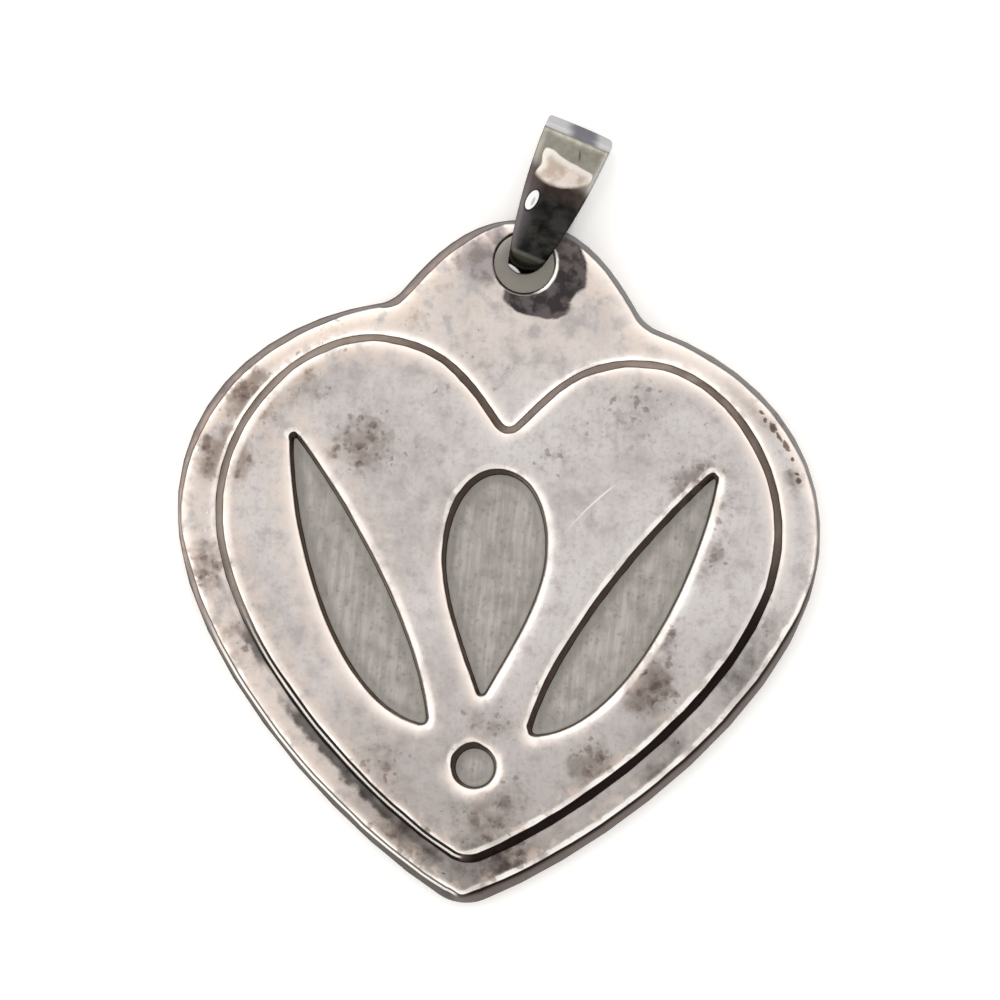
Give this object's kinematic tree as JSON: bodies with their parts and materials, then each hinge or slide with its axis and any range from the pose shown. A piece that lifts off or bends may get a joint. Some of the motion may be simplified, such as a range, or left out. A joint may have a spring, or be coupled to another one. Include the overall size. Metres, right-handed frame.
{
  "type": "heart pendant",
  "caption": "Flat silver heart pendant with a raised, pierced heart on its face and a folded, tapered bail that swings in a hole near its upper edge.",
  "frame": {"origin": "on the flat back face, on the heart's axis, at the heart's widest line", "axes": "+X across the heart to the right as seen from the front, +Y up the heart's axis towards the bail, +Z straight out of the face"},
  "size_m": [0.0322, 0.0395, 0.004],
  "materials": {
    "worn_silver": "worn sterling silver, speckled with tarnish",
    "polished_silver": "worn sterling silver with bright rounded rims",
    "tarnished_silver": "polished silver gone dark with tarnish"
  },
  "bodies": {
    "pendant": {"heart_plate": "worn_silver", "raised_heart": "polished_silver"},
    "bail": {"bail": "tarnished_silver"}
  },
  "joints": [
    {"name": "bail_swing", "type": "hinge", "parent": "pendant", "child": "bail", "pos_m": [0.00055, 0.01478, 0.00075], "axis": [0.9537, -0.3007, 0], "range_deg": [-85, 95]}
  ]
}
